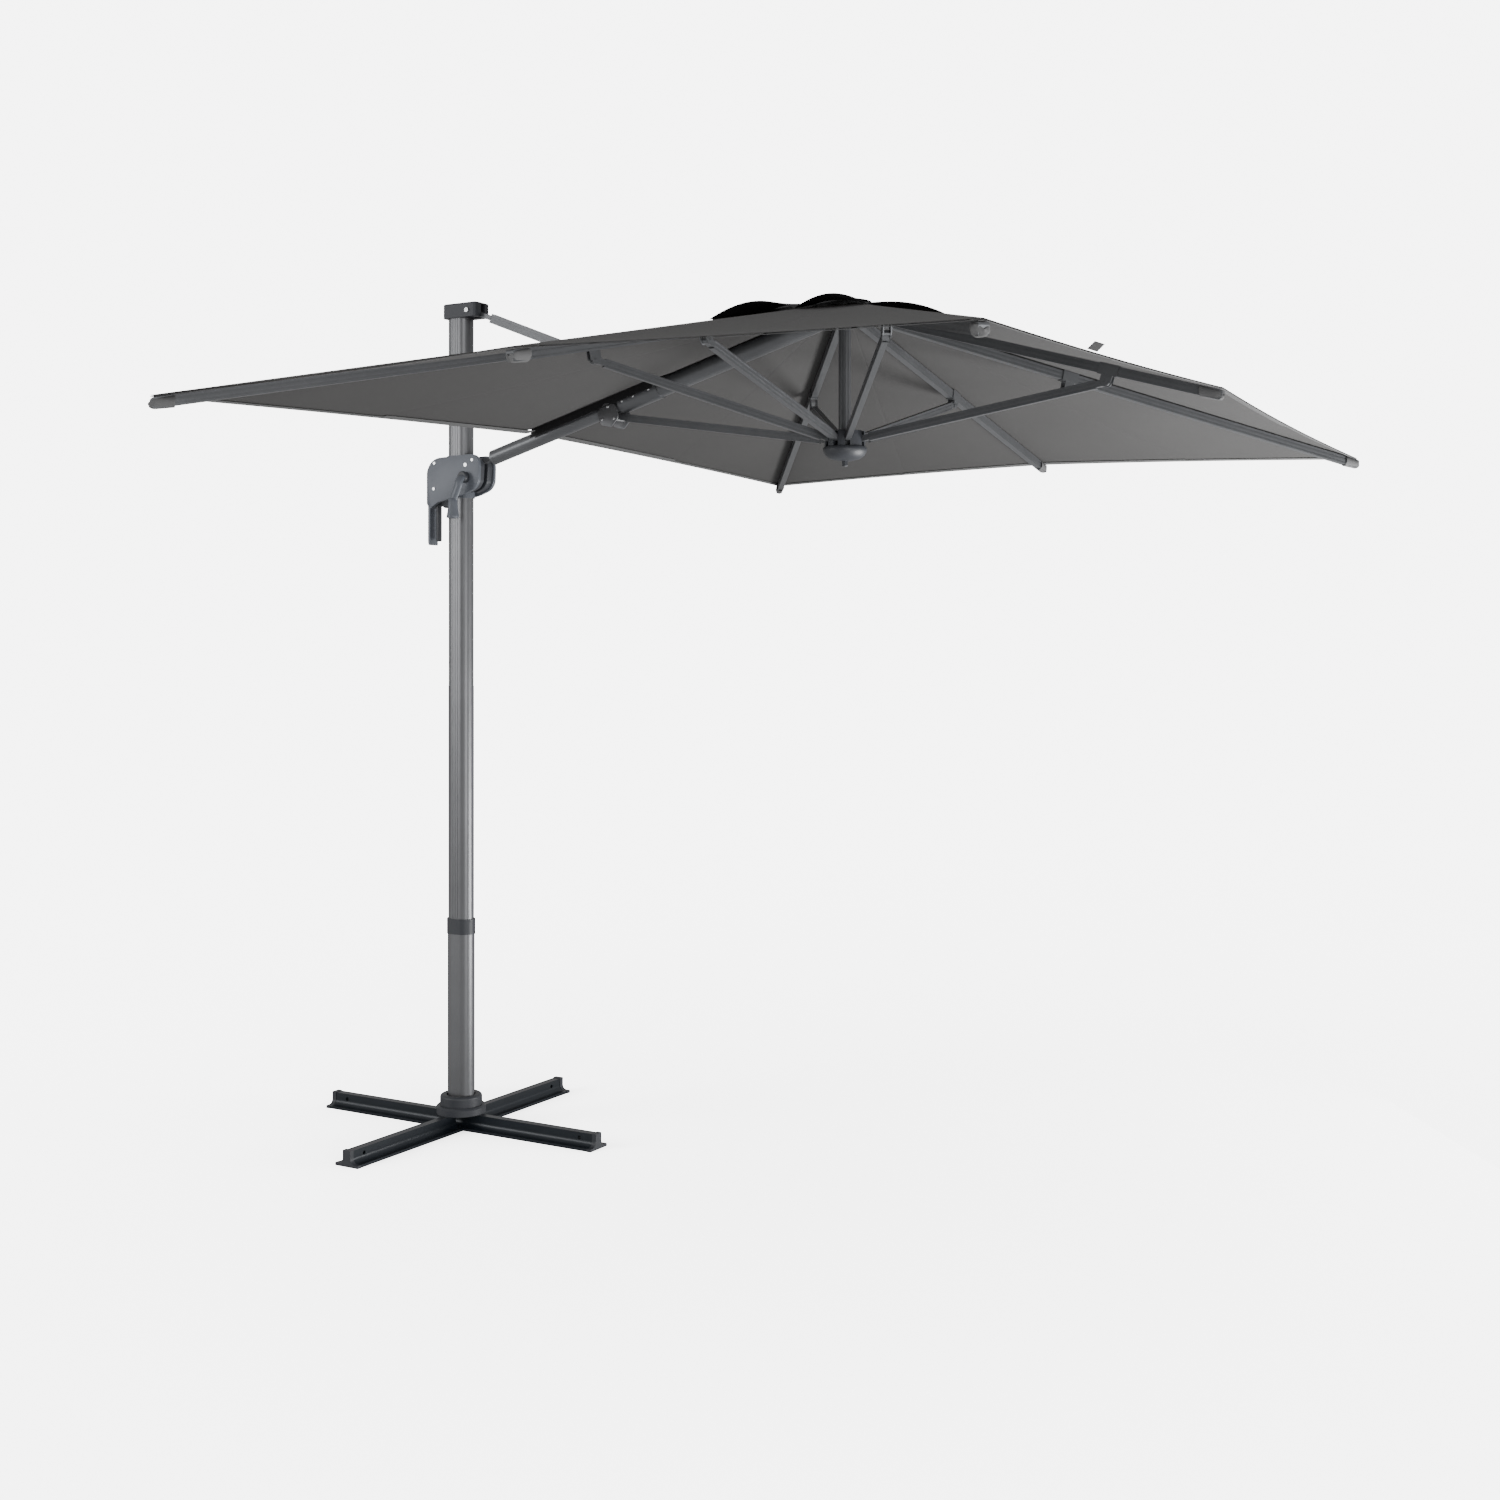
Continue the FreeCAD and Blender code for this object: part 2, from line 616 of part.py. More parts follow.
nose = merge([
    Part.makeCone(11, size("pole_wide") / 2, 12, V(0, 0, runner_low - 12)),
    rod(9, (0, 0, runner_low - 26), (0, 0, runner_low - 11)),
])
piece("centre_pole", round_pole(pole, 0), round_pole(nose, 0))


# Ribs, brackets and struts -----------------------------------------------------------------------
def rib_line(radius, edge_height, pin_height):
    """Pitch in degrees and length of a rib from its crown pin to its tip."""
    run = radius - ring
    drop = pin_height - (edge_height - size("fabric_lift"))
    return math.degrees(math.atan2(drop, run)), math.hypot(run, drop)


def tongued(length, wide, deep, tongue_deep, tongue_long, far_long):
    """A fluted bar with a flat tongue and an eye at the inner end."""
    half = size("tongue_wide") / 2
    tongue = merge([
        box(0, tongue_long + 2, -half, half, -tongue_deep / 2, tongue_deep / 2),
        cross_pin(tongue_deep, 0, 0, half),
    ])
    bar = fluted(length - tongue_long - far_long, wide, deep, size("wall"))
    bar.translate(V(tongue_long, 0, 0))
    plug = box(tongue_long, tongue_long + 12, 1 - wide / 2, wide / 2 - 1,
               0.5 - deep / 2, deep / 2 - 0.5)
    return merge([bar, plug, tongue]).cut(cross_pin(size("pin") + size("fit"), 0, 0, 30))


def rib(pitch, length, height):
    """A rib with its plastic tip as a second solid."""
    tip = 16
    bar = tongued(length, size("rib_wide"), size("rib_deep"), 18, 34, tip)
    end = box(length - tip, length, -size("rib_wide") / 2, size("rib_wide") / 2,
              -size("rib_deep") / 2, size("rib_deep") / 2)
    end = end.makeFillet(6, [e for e in end.Edges
                             if e.BoundBox.XMin > length - 0.1 and e.BoundBox.YLength > 5])
    return [turned(shape, pitch, ring, height) for shape in (bar, end)]


def rib_bracket(pitch, height, pin_r, pin_z):
    """A sleeve round the rib with two ears that hold the strut's pin."""
    c = math.cos(math.radians(pitch))
    s = math.sin(math.radians(pitch))
    along = (pin_r - ring) * c + (height - pin_z) * s
    under = (pin_z - height) * c + (pin_r - ring) * s
    wide = size("rib_wide")
    deep = size("rib_deep")
    skin = 2.2
    half = size("strut_wide") / 2 + 0.3
    sleeve_half = 26
    shell = box(along - sleeve_half, along + sleeve_half, -wide / 2 - skin, wide / 2 + skin,
                -deep / 2 - skin, deep / 2 + skin)
    shell = less(shell, box(0, 2000, -wide / 2, wide / 2, -deep / 2, deep / 2))
    ears = [
        merge([box(along - 15, along + 15, y0, y1, under, -deep / 2 - 1),
               rod(22, (along, y0, under), (along, y1, under))])
        for y0, y1 in ((-half - 3, -half), (half, half + 3))
    ]
    ears = [less(ear, box(0, 2000, -wide / 2, wide / 2, -deep / 2, deep / 2)) for ear in ears]
    screw = rod(7, (along + 10, wide / 2 + skin - 1, 0), (along + 10, wide / 2 + skin + 2, 0))
    bracket = merge([shell] + ears + [cross_pin(size("pin"), along, under, half + 4.5), screw])
    return turned(bracket, pitch, ring, height)


def strut(pin_r, pin_z, own_pin):
    """A strut from the lower hub's pin out to its bracket's pin."""
    run = pin_r - ring
    rise = pin_z - size("runner_height")
    length = math.hypot(run, rise)
    pitch = -math.degrees(math.atan2(rise, run))
    eye = 16
    bar = tongued(length, size("strut_wide"), size("strut_deep"), eye, 30, 26)
    far = merge([
        box(length - 28, length, -size("strut_wide") / 2, size("strut_wide") / 2, -eye / 2, eye / 2),
        cross_pin(eye, length, 0, size("strut_wide") / 2),
    ])
    bar = merge([bar, far]).cut(cross_pin(size("pin") + size("fit"), length, 0, 30))
    if own_pin:
        bar = merge([bar, cross_pin(size("pin") + 1, 0, 0, size("tongue_wide") / 2)])
    return turned(bar, pitch, ring, size("runner_height"))


def edge_of(azimuth):
    """Radius and fabric height where a rib reaches the canopy's edge."""
    c = abs(math.cos(math.radians(azimuth)))
    s = abs(math.sin(math.radians(azimuth)))
    if c < 1e-6:
        return size("half_y"), size("mid_y_height")
    if s < 1e-6:
        return size("half_x"), size("mid_x_height")
    return math.hypot(size("half_x"), size("half_y")), size("corner_height")


ARMS = [(name, azimuth, size("crown_height"), STRUT_RADIUS, STRUT_HEIGHT)
        for name, azimuth in ACROSS]
ARMS += [("front", 0.0, size("crown_x_height"), size("strut_x_radius"), size("strut_x_height")),
         ("boom", 180.0, size("crown_x_height"), size("strut_x_radius"), size("strut_x_height"))]
for name, azimuth, height, pin_r, pin_z in ARMS:
    pitch, length = rib_line(*edge_of(azimuth), height)
    if name != "boom":
        solids = rib(pitch, length, height)
        piece("rib_" + name, *[round_pole(solid, azimuth) for solid in solids])
        piece("bracket_" + name, round_pole(rib_bracket(pitch, height, pin_r, pin_z), azimuth))
    own_pin = name in ("front", "boom")
    piece("strut_" + name, round_pole(strut(pin_r, pin_z, own_pin), azimuth))


# Fabric ------------------------------------------------------------------------------------------
def fabric_point(azimuth, share, extra=0.0):
    """A point of the fabric's underside above a rib, at a share of its length."""
    radius, edge = edge_of(azimuth)
    pin = size("crown_x_height") if abs(math.sin(math.radians(azimuth))) < 1e-6 else \
        size("crown_height")
    slope = (pin + size("fabric_lift") - edge) / (radius - ring)
    r = radius * share
    return V(r * math.cos(math.radians(azimuth)), r * math.sin(math.radians(azimuth)),
             edge + slope * (radius - r) + extra)


def flat_panel(points):
    return Part.Face(Part.makePolygon(list(points) + [points[0]])).extrude(
        V(0, 0, size("fabric_thick")))


def middle(a, b):
    return (a + b) * 0.5


order = sorted(ARMS, key=lambda arm: arm[1])
azimuths = [arm[1] for arm in order]
inner_share = size("fabric_inner")
SLIT = 32
for k, (name, azimuth, *rest) in enumerate(order):
    here = [fabric_point(azimuth, share) for share in (inner_share, 1.0)]
    halves = []
    for other in (azimuths[k - 1], azimuths[(k + 1) % len(azimuths)]):
        there = [fabric_point(other, share) for share in (inner_share, 1.0)]
        seam = [middle(here[0], there[0]), middle(here[1], there[1])]
        for tri in ((here[0], here[1], seam[1]), (here[0], seam[1], seam[0])):
            halves.append(flat_panel(tri))
    if name == "boom":
        slit = box(-3000, 0, -SLIT, SLIT, 1500, 3000)
        sides = [merge(halves[:2]).cut(slit), merge(halves[2:]).cut(slit)]
        solids = [solid for shape in sides for solid in shape.Solids]
    else:
        solids = merge(halves).Solids
    piece("canopy_" + name, *[round_pole(solid, 0) for solid in solids])



def vent_share(azimuth):
    """Share of a rib that the vent cap covers: further along the short ribs."""
    along_x = abs(math.sin(math.radians(azimuth))) < 1e-6
    return size("vent_half") / size("half_x" if along_x else "half_y")


vent_panels = []
for k, azimuth in enumerate(azimuths):
    other = azimuths[(k + 1) % len(azimuths)]
    rise = size("vent_rise")
    low_a = fabric_point(azimuth, vent_share(azimuth), rise)
    low_b = fabric_point(other, vent_share(other), rise)
    top = V(0, 0, crown_top + CROWN_CAP + 2 + rise / 2)
    vent_panels.append(flat_panel((top, low_a, low_b)))
piece("vent_canopy", round_pole(merge(vent_panels), 0))

# Checks and export -------------------------------------------------------------------------------
doc.recompute()
os.makedirs("parts", exist_ok=True)
for obj in doc.Objects:
    if "Invalid" in obj.State or "Error" in obj.State:
        raise RuntimeError("failed object " + obj.Label)
for obj in pieces:
    if obj.Shape.isNull() or not obj.Shape.isValid() or not obj.Shape.Solids:
        raise RuntimeError("bad shape " + obj.Label)
for obj in pieces:
    obj.Shape.exportStep("parts/" + obj.Label + ".step")
print(len(pieces), "pieces")
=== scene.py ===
# %% [markdown]
# A cantilever parasol: the metal frame comes finished from the design file, and Blender adds the
# cloth, the moulded slider, the small trim and every finish. The frame is loaded first, because
# each new piece takes its place and size from it.

# %% Load the frame
import json
import math
import bpy
import bmesh
from mathutils import Matrix, Vector


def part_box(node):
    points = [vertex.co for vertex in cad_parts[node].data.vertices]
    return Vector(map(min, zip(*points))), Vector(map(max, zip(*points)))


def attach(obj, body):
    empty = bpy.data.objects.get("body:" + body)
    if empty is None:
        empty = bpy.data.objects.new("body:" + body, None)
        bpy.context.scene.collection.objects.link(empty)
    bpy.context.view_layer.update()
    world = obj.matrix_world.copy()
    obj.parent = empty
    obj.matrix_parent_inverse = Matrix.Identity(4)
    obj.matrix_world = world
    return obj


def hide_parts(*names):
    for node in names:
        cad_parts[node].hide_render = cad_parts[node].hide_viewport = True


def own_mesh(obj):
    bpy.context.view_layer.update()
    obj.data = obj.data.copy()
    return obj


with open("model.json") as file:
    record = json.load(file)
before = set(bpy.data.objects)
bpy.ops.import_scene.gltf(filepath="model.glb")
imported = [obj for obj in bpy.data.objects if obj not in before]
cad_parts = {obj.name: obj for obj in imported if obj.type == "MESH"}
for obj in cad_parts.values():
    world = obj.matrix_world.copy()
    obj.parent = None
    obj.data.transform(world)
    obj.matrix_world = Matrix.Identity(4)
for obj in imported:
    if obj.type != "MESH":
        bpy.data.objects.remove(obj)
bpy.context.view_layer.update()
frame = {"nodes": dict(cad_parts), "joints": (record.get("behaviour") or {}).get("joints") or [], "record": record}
nodes = frame["nodes"]

# %% [markdown]
# The canopy is a shallow pyramid on eight lines, seven ribs and the boom. Its few heights can be read
# back from the boxes of the cloth sections: a section's lowest corner is half way between two ribs.

# %% Canopy measures
hub_low, hub_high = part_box("hub_crown")
HUB = Vector(((hub_low[0] + hub_high[0]) / 2, 0.0, 0.0))
front_low, front_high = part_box("canopy_front")
left_low, left_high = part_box("canopy_left")
corner_low, corner_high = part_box("canopy_left_front")
HALF_X = front_high[0] - HUB.x
HALF_Y = left_high[1]
CORNER_Z = corner_low[2]
MID_X_Z = 2 * front_low[2] - CORNER_Z
MID_Y_Z = 2 * left_low[2] - CORNER_Z
INNER = (front_low[0] - HUB.x) / HALF_X
CLOTH = 0.0012
CORNER_AZIMUTH = math.degrees(math.atan2(HALF_Y, HALF_X))


def slope_of(low, high, radius):
    """Rise of the cloth towards the hub along a rib, per metre."""
    edge = {HALF_X: MID_X_Z, HALF_Y: MID_Y_Z}.get(radius, CORNER_Z)
    return (high[2] - CLOTH - edge) / (radius * (1 - INNER))


ARMS = {
    "front": 0.0,
    "left_front": CORNER_AZIMUTH,
    "left": 90.0,
    "left_rear": 180.0 - CORNER_AZIMUTH,
    "boom": 180.0,
    "right_rear": 180.0 + CORNER_AZIMUTH,
    "right": 270.0,
    "right_front": 360.0 - CORNER_AZIMUTH,
}
NAMES = list(ARMS)
print("canopy", round(2 * HALF_X, 3), "x", round(2 * HALF_Y, 3), "m, inner share", round(INNER, 3))


# %% [markdown]
# Every finish is a small node tree. Two effects turn up in several of them, a fine grain and a slow
# mottling, so each is a node group with its own inputs, and the materials give it their own values.

# %% Node helpers
def link(tree, source, target):
    tree.links.new(source, target)


def new_group(name, inputs, outputs):
    group = bpy.data.node_groups.new(name, "ShaderNodeTree")
    for label, kind, value in inputs:
        made = group.interface.new_socket(name=label, in_out="INPUT", socket_type=kind)
        if value is not None:
            made.default_value = value
    for label, kind in outputs:
        group.interface.new_socket(name=label, in_out="OUTPUT", socket_type=kind)
    return group, group.nodes.new("NodeGroupInput"), group.nodes.new("NodeGroupOutput")


def noise(tree, vector, scale, detail):
    node = tree.nodes.new("ShaderNodeTexNoise")
    node.inputs["Scale"].default_value = scale
    node.inputs["Detail"].default_value = detail
    link(tree, vector, node.inputs["Vector"])
    return node.outputs["Fac"]


def math_node(tree, operation, a, b):
    node = tree.nodes.new("ShaderNodeMath")
    node.operation = operation
    for socket, value in zip(node.inputs, (a, b)):
        if isinstance(value, (int, float)):
            socket.default_value = value
        else:
            link(tree, value, socket)
    return node.outputs[0]


# %% Mottling group: a colour that drifts a little over the surface
mottle, mottle_in, mottle_out = new_group(
    "mottling",
    [("Vector", "NodeSocketVector", None), ("Scale", "NodeSocketFloat", 6.0),
     ("Dark", "NodeSocketColor", (0.1, 0.1, 0.1, 1)),
     ("Light", "NodeSocketColor", (0.2, 0.2, 0.2, 1))],
    [("Color", "NodeSocketColor")],
)
drift = mottle.nodes.new("ShaderNodeTexNoise")
drift.inputs["Detail"].default_value = 5.0
link(mottle, mottle_in.outputs["Vector"], drift.inputs["Vector"])
link(mottle, mottle_in.outputs["Scale"], drift.inputs["Scale"])
blend = mottle.nodes.new("ShaderNodeMix")
blend.data_type = "RGBA"
link(mottle, drift.outputs["Fac"], blend.inputs["Factor"])
link(mottle, mottle_in.outputs["Dark"], blend.inputs["A"])
link(mottle, mottle_in.outputs["Light"], blend.inputs["B"])
link(mottle, blend.outputs["Result"], mottle_out.inputs["Color"])

# %% Grain group: orange peel of powder coat, or the texture of moulded plastic
grain, grain_in, grain_out = new_group(
    "grain",
    [("Vector", "NodeSocketVector", None), ("Scale", "NodeSocketFloat", 900.0),
     ("Rough Low", "NodeSocketFloat", 0.3), ("Rough High", "NodeSocketFloat", 0.5)],
    [("Height", "NodeSocketFloat"), ("Roughness", "NodeSocketFloat")],
)
speck = grain.nodes.new("ShaderNodeTexNoise")
speck.inputs["Detail"].default_value = 2.0
link(grain, grain_in.outputs["Vector"], speck.inputs["Vector"])
link(grain, grain_in.outputs["Scale"], speck.inputs["Scale"])
spread = grain.nodes.new("ShaderNodeMapRange")
link(grain, speck.outputs["Fac"], spread.inputs["Value"])
link(grain, grain_in.outputs["Rough Low"], spread.inputs["To Min"])
link(grain, grain_in.outputs["Rough High"], spread.inputs["To Max"])
link(grain, speck.outputs["Fac"], grain_out.inputs["Height"])
link(grain, spread.outputs["Result"], grain_out.inputs["Roughness"])

# %% Weave group: plain weave from two crossed rows of yarn, on the cloth's own UV map in metres
weave, weave_in, weave_out = new_group(
    "weave",
    [("Vector", "NodeSocketVector", None), ("Yarns", "NodeSocketFloat", 700.0)],
    [("Height", "NodeSocketFloat")],
)
rows = []
for axis in "XY":
    part = weave.nodes.new("ShaderNodeSeparateXYZ")
    link(weave, weave_in.outputs["Vector"], part.inputs[0])
    turns = math_node(weave, "MULTIPLY", part.outputs[axis], weave_in.outputs["Yarns"])
    wave = math_node(weave, "SINE", math_node(weave, "MULTIPLY", turns, 2 * math.pi), 0.0)
    rows.append(wave)
crossed = math_node(weave, "MULTIPLY", rows[0], rows[1])
slub = noise(weave, weave_in.outputs["Vector"], 160.0, 2.0)
raised = math_node(weave, "ADD", math_node(weave, "MULTIPLY", crossed, 0.5), slub)
link(weave, raised, weave_out.inputs["Height"])


# %% [markdown]
# Hard finishes: the powder-coated tubes are a dark grey with metal under it, the base is nearly black,
# the slider and hubs are moulded plastic, and the bolts are plain steel.

# %% Hard materials
def place_group(tree, group, vector, **values):
    node = tree.nodes.new("ShaderNodeGroup")
    node.node_tree = group
    link(tree, vector, node.inputs["Vector"])
    for label, value in values.items():
        node.inputs[label.replace("_", " ")].default_value = value
    return node


MOTTLE_SCALE = 9.0
PEEL_DEPTH = 0.0004


def hard_finish(name, dark, light, metallic, rough, grain_scale, bump):
    material = bpy.data.materials.new(name)
    material.use_nodes = True
    tree = material.node_tree
    shader = tree.nodes["Principled BSDF"]
    where = tree.nodes.new("ShaderNodeTexCoord").outputs["Object"]
    tint = place_group(tree, mottle, where, Scale=MOTTLE_SCALE, Dark=(*dark, 1), Light=(*light, 1))
    skin = place_group(tree, grain, where, Scale=grain_scale, Rough_Low=rough[0], Rough_High=rough[1])
    link(tree, tint.outputs["Color"], shader.inputs["Base Color"])
    link(tree, skin.outputs["Roughness"], shader.inputs["Roughness"])
    relief = tree.nodes.new("ShaderNodeBump")
    relief.inputs["Strength"].default_value = bump
    relief.inputs["Distance"].default_value = PEEL_DEPTH
    link(tree, skin.outputs["Height"], relief.inputs["Height"])
    link(tree, relief.outputs["Normal"], shader.inputs["Normal"])
    shader.inputs["Metallic"].default_value = metallic
    material.diffuse_color = (*light, 1)
    return material


finishes = {
    "charcoal_frame": hard_finish(
        "powder_coated_frame", (0.095, 0.098, 0.104), (0.135, 0.139, 0.146),
        0.55, (0.30, 0.44), 1400, 0.12),
    "mast_paint": hard_finish(
        "powder_coated_mast", (0.125, 0.127, 0.132), (0.17, 0.172, 0.18), 0.6, (0.30, 0.42), 1400, 0.10),
    "base_paint": hard_finish(
        "base_enamel", (0.006, 0.009, 0.013), (0.014, 0.019, 0.026), 0.25, (0.28, 0.42), 900, 0.15),
    "grey_plastic": hard_finish(
        "slider_moulding", (0.082, 0.090, 0.106), (0.112, 0.122, 0.142), 0.15, (0.38, 0.5), 1800, 0.2),
    "black_plastic": hard_finish(
        "dark_moulding", (0.022, 0.024, 0.030), (0.036, 0.039, 0.046), 0.0, (0.42, 0.56), 1600, 0.25),
    "bright_steel": hard_finish(
        "plated_steel", (0.48, 0.49, 0.5), (0.62, 0.63, 0.64), 0.95, (0.2, 0.34), 2200, 0.08),
}


# %% [markdown]
# The cloth is solution-dyed polyester: matt, dark grey, with a faint weave. The hems and pockets are
# the same cloth in two layers, which look a little lighter, and the vent cap reads almost black.

# %% Cloth materials
WEAVE_STRENGTH = 0.25
WEAVE_DEPTH = 0.0003


def cloth_finish(name, dark, light, sheen):
    material = bpy.data.materials.new(name)
    material.use_nodes = True
    tree = material.node_tree
    shader = tree.nodes["Principled BSDF"]
    where = tree.nodes.new("ShaderNodeUVMap")
    where.uv_map = "cut"
    tint = place_group(tree, mottle, where.outputs["UV"], Scale=2.5, Dark=(*dark, 1), Light=(*light, 1))
    yarn = place_group(tree, weave, where.outputs["UV"], Yarns=650.0)
    skin = place_group(tree, grain, where.outputs["UV"], Scale=420.0, Rough_Low=0.78, Rough_High=0.95)
    link(tree, tint.outputs["Color"], shader.inputs["Base Color"])
    link(tree, skin.outputs["Roughness"], shader.inputs["Roughness"])
    relief = tree.nodes.new("ShaderNodeBump")
    relief.inputs["Strength"].default_value = WEAVE_STRENGTH
    relief.inputs["Distance"].default_value = WEAVE_DEPTH
    link(tree, yarn.outputs["Height"], relief.inputs["Height"])
    link(tree, relief.outputs["Normal"], shader.inputs["Normal"])
    shader.inputs["Sheen Weight"].default_value = sheen
    shader.inputs["Sheen Roughness"].default_value = 0.5
    material.diffuse_color = (*light, 1)
    return material


canopy_cloth = cloth_finish("canopy_cloth", (0.040, 0.0390, 0.0385), (0.050, 0.0490, 0.0485), 0.02)
hem_cloth = cloth_finish("hem_cloth", (0.085, 0.085, 0.086), (0.11, 0.11, 0.112), 0.03)
# Near-black cloth for the vent cap and the strap; the slit facings use it too, as painted shade along the slit.
black_cloth_and_painted_shade = cloth_finish("black_cloth_and_painted_shade", (0.004, 0.004, 0.005), (0.008, 0.008, 0.009), 0.0)

for row in frame["record"]["subparts"]:
    node = nodes[row["node"]]
    finish = finishes.get(row["material_slot"], canopy_cloth)
    if node.data.materials:
        for index in range(len(node.data.materials)):
            node.data.materials[index] = finish
    else:
        node.data.materials.append(finish)

# %% [markdown]
# The cloth follows one rule everywhere: straight along each rib, and between two ribs it hangs a
# little and its hem is drawn in. All eight sections use the same rule, so their borders match.

# %% The cloth's surface
HANG = 0.010
HANG_AT_HEM = 0.4
HANG_PLACE = 1.5
DRAWN_IN = 0.016
# The cloth's rise over the boom, in metres, and how far it spreads sideways and behind the hub.
BOOM_BUMP = 0.0105
BUMP_WIDE = 0.035
BUMP_START = 0.05


def rib_edge(azimuth):
    """Plan direction, reach and height of the cloth's edge over a rib."""
    turn = math.radians(azimuth)
    way = Vector((math.cos(turn), math.sin(turn), 0.0))
    if abs(way.y) < 1e-6:
        return way, HALF_X, MID_X_Z, slope_of(front_low, front_high, HALF_X)
    if abs(way.x) < 1e-6:
        return way, HALF_Y, MID_Y_Z, slope_of(left_low, left_high, HALF_Y)
    reach = math.hypot(HALF_X, HALF_Y)
    return way, reach, CORNER_Z, slope_of(corner_low, corner_high, reach)


def rib_point(azimuth, share):
    way, reach, height, slope = rib_edge(azimuth)
    return HUB + way * (reach * share) + Vector((0, 0, height + slope * reach * (1 - share)))


def cloth_point(azimuth, neighbour, across, share):
    """across is 0 on the rib and 1 half way to the neighbouring rib."""
    bow = 1 - (1 - across) ** 2
    pull = 1 - DRAWN_IN * bow * share**3
    start = rib_point(azimuth, share * pull)
    end = rib_point(neighbour, share * pull)
    point = start.lerp(end, across / 2)
    point.z -= HANG * bow * math.sin(math.pi * min(share, 1.0) ** HANG_PLACE)
    point.z -= HANG_AT_HEM * HANG * bow * share**2
    return point


def neighbours(name):
    place = NAMES.index(name)
    before = ARMS[NAMES[place - 1]]
    after = ARMS[NAMES[(place + 1) % len(NAMES)]]
    return before, after


def over_boom(point):
    """Extra height where the cloth lies over the boom's tube, which is thicker than a rib."""
    behind = min(max((HUB.x - point.x) / BUMP_START, 0.0), 1.0)
    return BOOM_BUMP * behind * math.exp(-((point.y / BUMP_WIDE) ** 2))


def section_point(name, across, share):
    before, after = neighbours(name)
    other = after if across >= 0 else before
    point = cloth_point(ARMS[name], other, abs(across), share)
    point.z += over_boom(point)
    return point


def add_cut_map(mesh):
    """UV map in metres, from the plan, for the weave."""
    layer = mesh.loops.layers.uv.new("cut")
    for face in mesh.faces:
        for corner in face.loops:
            corner[layer].uv = (corner.vert.co.x, corner.vert.co.y)


def as_object(name, mesh, material, smooth=True):
    """A bmesh becomes an object at the origin with one material."""
    data = bpy.data.meshes.new(name)
    mesh.to_mesh(data)
    mesh.free()
    for face in data.polygons:
        face.use_smooth = smooth
    data.materials.append(material)
    piece = bpy.data.objects.new(name, data)
    bpy.context.scene.collection.objects.link(piece)
    return piece


def finish_piece(name, mesh, material, smooth=True):
    """A closed solid, or the floor, with its faces turned outwards."""
    bmesh.ops.recalc_face_normals(mesh, faces=mesh.faces)
    return as_object(name, mesh, material, smooth)


def grid_piece(name, columns, rows, place, material, thickness):
    """A sheet: a grid whose corners run from -1 to 1 across and 0 to 1 along, moved by place()."""
    mesh = bmesh.new()
    bmesh.ops.create_grid(mesh, x_segments=columns, y_segments=rows, size=1.0)
    for vert in mesh.verts:
        vert.co = place(vert.co.x, (vert.co.y + 1) / 2)
    add_cut_map(mesh)
    mesh.normal_update()
    if sum(face.normal.z for face in mesh.faces) < 0:
        bmesh.ops.reverse_faces(mesh, faces=mesh.faces)
    piece = as_object(name, mesh, material)
    solid = piece.modifiers.new("thickness", "SOLIDIFY")
    solid.thickness = thickness
    solid.offset = 1.0
    even = piece.modifiers.new("even_normals", "WEIGHTED_NORMAL")
    even.weight = 100
    return piece


def body_for(name):
    return "boom" if name == "boom" else "rib_" + name


def tangent(name):
    turn = math.radians(ARMS[name])
    return (-math.sin(turn), math.cos(turn), 0.0)


def fold_cloth(piece, name):
    """Cloth rides on its rib's body as the parasol moves, with its own copy of the mesh."""
    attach(piece, body_for(name))
    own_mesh(piece)


# %% [markdown]
# Each section is a fine grid. The one over the boom is open along the middle, because the boom and the
# top arm pass through a slit there; the slit's edges lie beside the boom and close above its sleeve.

# %% Main canopy
SLIT_END = 0.60
SLIT_HALF = 0.028
SLIT_CLOSING = 0.08
# Above 1 the grid's columns lie closer together beside the boom, where the cloth bends most.
CROWDING = 1.8
COLUMNS = 40
ROWS = 44
HEM_WIDE = 0.024


def boom_half(side):
    def place(across, along):
        share = INNER + (1 - INNER) * along
        portion = ((across + 1) / 2) ** CROWDING
        opened = min(max((share - SLIT_END + SLIT_CLOSING) / SLIT_CLOSING, 0.0), 1.0)
        point = section_point("boom", side * portion, share)
        edge = SLIT_HALF * opened
        half_width = max(abs(section_point("boom", side, share).y), 0.1)
        point.y = -side * edge + point.y * (1 - edge / half_width)
        return point
    return place


def whole_section(name):
    def place(across, along):
        return section_point(name, across, INNER + (1 - INNER) * along)
    return place


for name in NAMES:
    if name == "boom":
        parts = [
            grid_piece("canopy_boom_" + word, COLUMNS // 2, ROWS, boom_half(side), canopy_cloth, CLOTH)
            for word, side in (("left", -1), ("right", 1))
        ]
    else:
        parts = [
            grid_piece("canopy_cloth_" + name, COLUMNS, ROWS, whole_section(name), canopy_cloth, CLOTH)
        ]
    for part in parts:
        fold_cloth(part, name)
        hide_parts("canopy_" + name)
print("canopy sections", len(NAMES))

# %% Slit facings: a turned-down strip along each edge of the slit, in near-black cloth that is painted shade along the boom
FACING_DEEP = 0.026
FACING_SPLAY = 0.006


def facing_place(side):
    edge = boom_half(side)
    first = (SLIT_END - SLIT_CLOSING - INNER) / (1 - INNER)

    def place(across, along):
        point = edge(-1.0, first + (1 - first) * along)
        drop = (across + 1) / 2
        point.y -= side * FACING_SPLAY * drop
        point.z -= FACING_DEEP * drop
        return point
    return place


for word, side in (("left", -1), ("right", 1)):
    # The facing's near-black cloth is painted shade: it stands in for the dark shade along the slit beside the
    # boom.
    facing = grid_piece("slit_facing_" + word, 4, ROWS, facing_place(side), black_cloth_and_painted_shade, CLOTH)
    fold_cloth(facing, "boom")


# %% [markdown]
# The hem is a folded band, sewn to the underside of the edge. It is its own thin strip, a shade
# lighter, with a little thickness of its own.

# %% Hems
HEM_BELOW = 0.0016
HEM_PAST_EDGE = 0.001
SLIT_SHARE = 0.06


